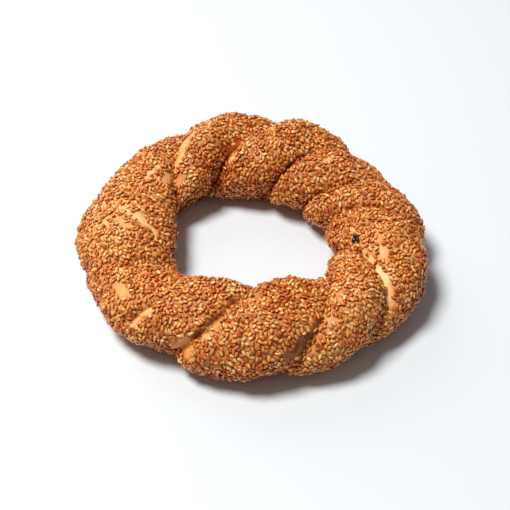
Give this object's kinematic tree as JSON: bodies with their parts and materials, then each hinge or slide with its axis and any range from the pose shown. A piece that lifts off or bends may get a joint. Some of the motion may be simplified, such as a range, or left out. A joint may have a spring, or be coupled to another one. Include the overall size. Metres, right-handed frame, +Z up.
{
  "type": "simit",
  "caption": "Ring of twisted bread with puffed lobes, deep creases between them, a flat base and a sesame crust.",
  "frame": {"origin": "on the table, under the middle of the ring's bounding box", "axes": "+Z up out of the hole, +X along the ring's longer side, -Y towards the side seen in front"},
  "size_m": [0.1642, 0.1618, 0.0374],
  "materials": {
    "crust": "matte",
    "sesame": "satin"
  },
  "bodies": {
    "root": {"simit": "crust"}
  },
  "joints": []
}
